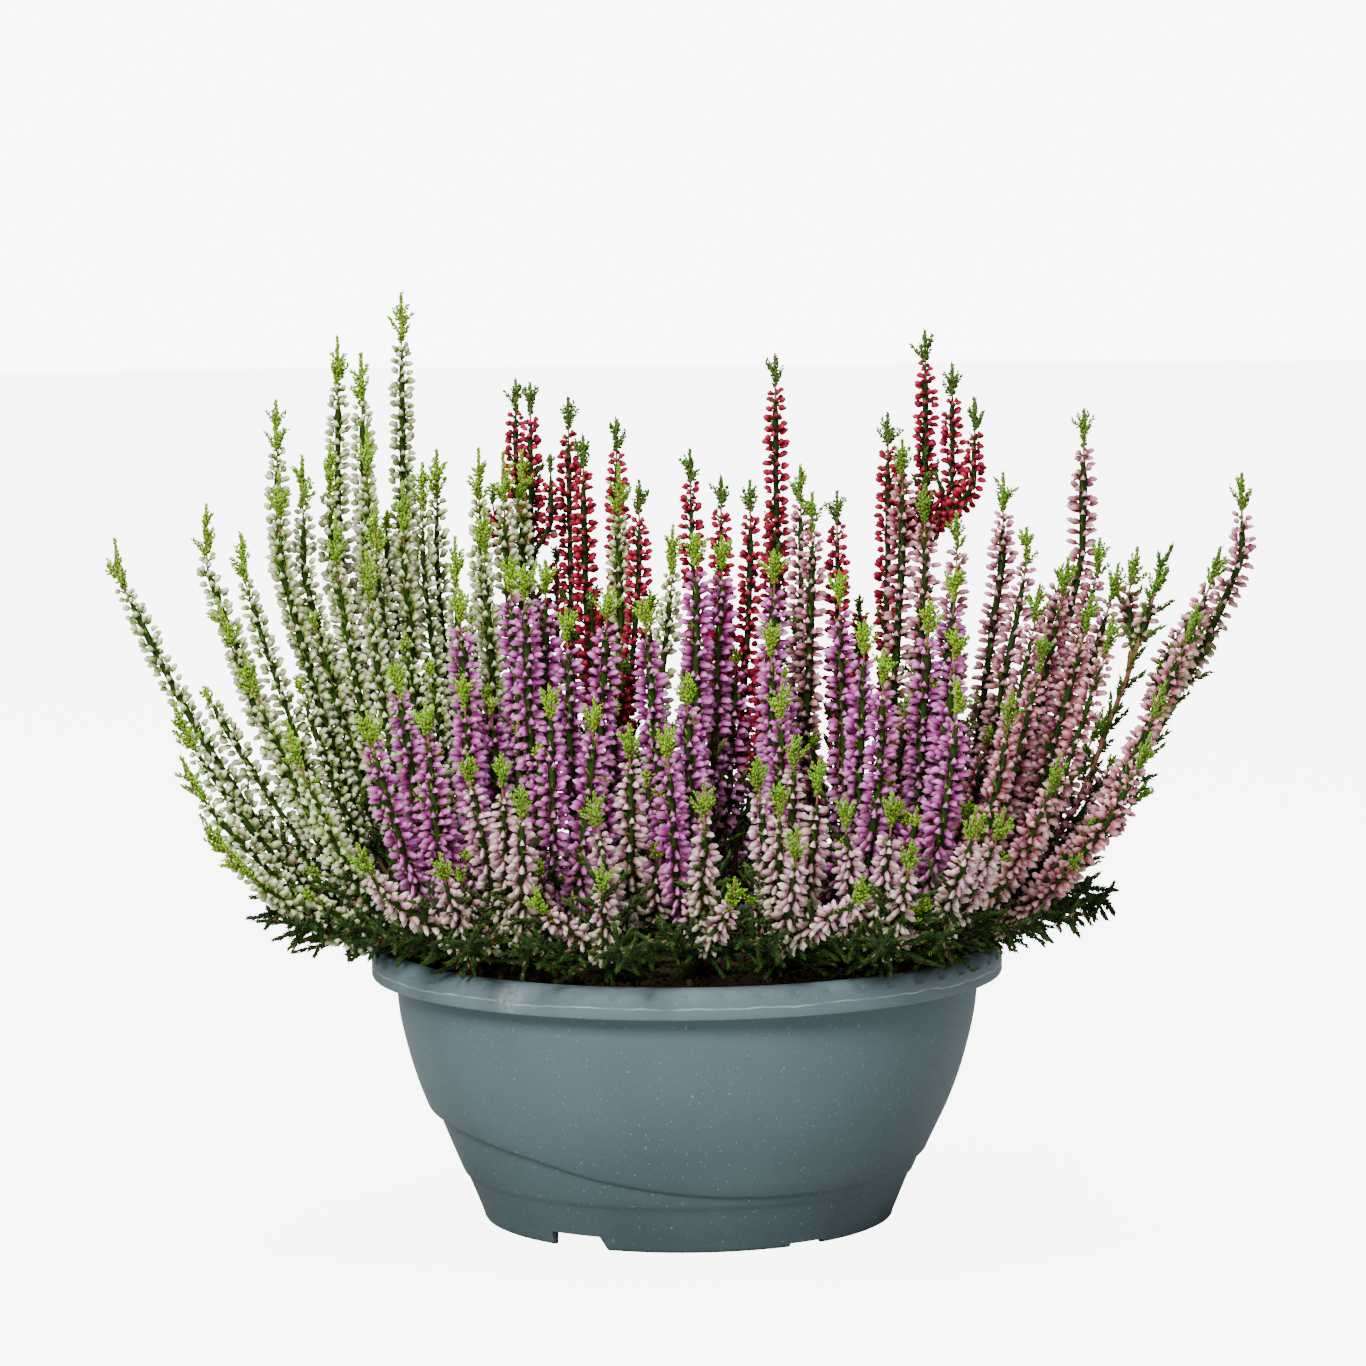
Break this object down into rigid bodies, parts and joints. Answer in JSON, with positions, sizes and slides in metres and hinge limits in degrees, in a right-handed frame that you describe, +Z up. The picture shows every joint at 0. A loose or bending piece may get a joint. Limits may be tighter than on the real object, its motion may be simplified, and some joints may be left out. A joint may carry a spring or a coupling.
{
  "type": "potted heather",
  "caption": "Round plastic bowl pot filled with soil and planted with upright flowering heather branches in white, crimson, magenta, blush and pink, with low leafy side sprays.",
  "frame": {"origin": "centre of the circle that the pot's foot stands on; the middle of the object's box is within about 2 mm of it sideways", "axes": "+Z up; the front is the side that faces -Y; +X is to the right seen from the front, along the plants' widest way"},
  "size_m": [0.4483, 0.2997, 0.365],
  "materials": {
    "pot_plastic": "satin moulded plastic, blue-grey",
    "soil": "loose dark compost",
    "white_heather": "matte greenish-white buds, green tips, red-brown stems",
    "crimson_heather": "matte crimson buds, dark green tips, brown stems",
    "magenta_heather": "matte magenta buds, yellow-green tips, brown stems",
    "blush_heather": "matte pinkish-white buds, yellow-green tips, brown stems",
    "pink_heather": "matte pale pink buds, green tips, brown stems"
  },
  "bodies": {
    "root": {"blush_branch_01": "blush_heather", "blush_branch_02": "blush_heather", "blush_branch_03": "blush_heather", "blush_branch_04": "blush_heather", "blush_branch_05": "blush_heather", "blush_branch_06": "blush_heather", "blush_branch_07": "blush_heather", "blush_branch_08": "blush_heather", "blush_branch_09": "blush_heather", "blush_branch_10": "blush_heather", "crimson_branch_01": "crimson_heather", "crimson_branch_02": "crimson_heather", "crimson_branch_03": "crimson_heather", "crimson_branch_04": "crimson_heather", "crimson_branch_05": "crimson_heather", "crimson_branch_06": "crimson_heather", "crimson_branch_07": "crimson_heather", "magenta_branch_01": "magenta_heather", "magenta_branch_02": "magenta_heather", "magenta_branch_03": "magenta_heather", "magenta_branch_04": "magenta_heather", "magenta_branch_05": "magenta_heather", "magenta_branch_06": "magenta_heather", "magenta_branch_07": "magenta_heather", "magenta_branch_08": "magenta_heather", "magenta_branch_09": "magenta_heather", "magenta_branch_10": "magenta_heather", "magenta_branch_11": "magenta_heather", "magenta_branch_12": "magenta_heather", "magenta_branch_13": "magenta_heather", "pink_branch_01": "pink_heather", "pink_branch_02": "pink_heather", "pink_branch_03": "pink_heather", "pink_branch_04": "pink_heather", "pink_branch_05": "pink_heather", "pink_branch_06": "pink_heather", "pink_branch_07": "pink_heather", "pink_branch_08": "pink_heather", "pink_branch_09": "pink_heather", "pink_branch_10": "pink_heather", "pink_branch_11": "pink_heather", "pink_branch_12": "pink_heather", "pink_branch_13": "pink_heather", "pot": "pot_plastic", "soil": "soil", "white_branch_01": "white_heather", "white_branch_02": "white_heather", "white_branch_03": "white_heather", "white_branch_04": "white_heather", "white_branch_05": "white_heather", "white_branch_06": "white_heather", "white_branch_07": "white_heather", "white_branch_08": "white_heather", "white_branch_09": "white_heather", "white_branch_10": "white_heather", "white_branch_11": "white_heather", "white_branch_12": "white_heather", "white_branch_13": "white_heather", "white_branch_14": "white_heather", "white_branch_15": "white_heather"}
  },
  "joints": []
}
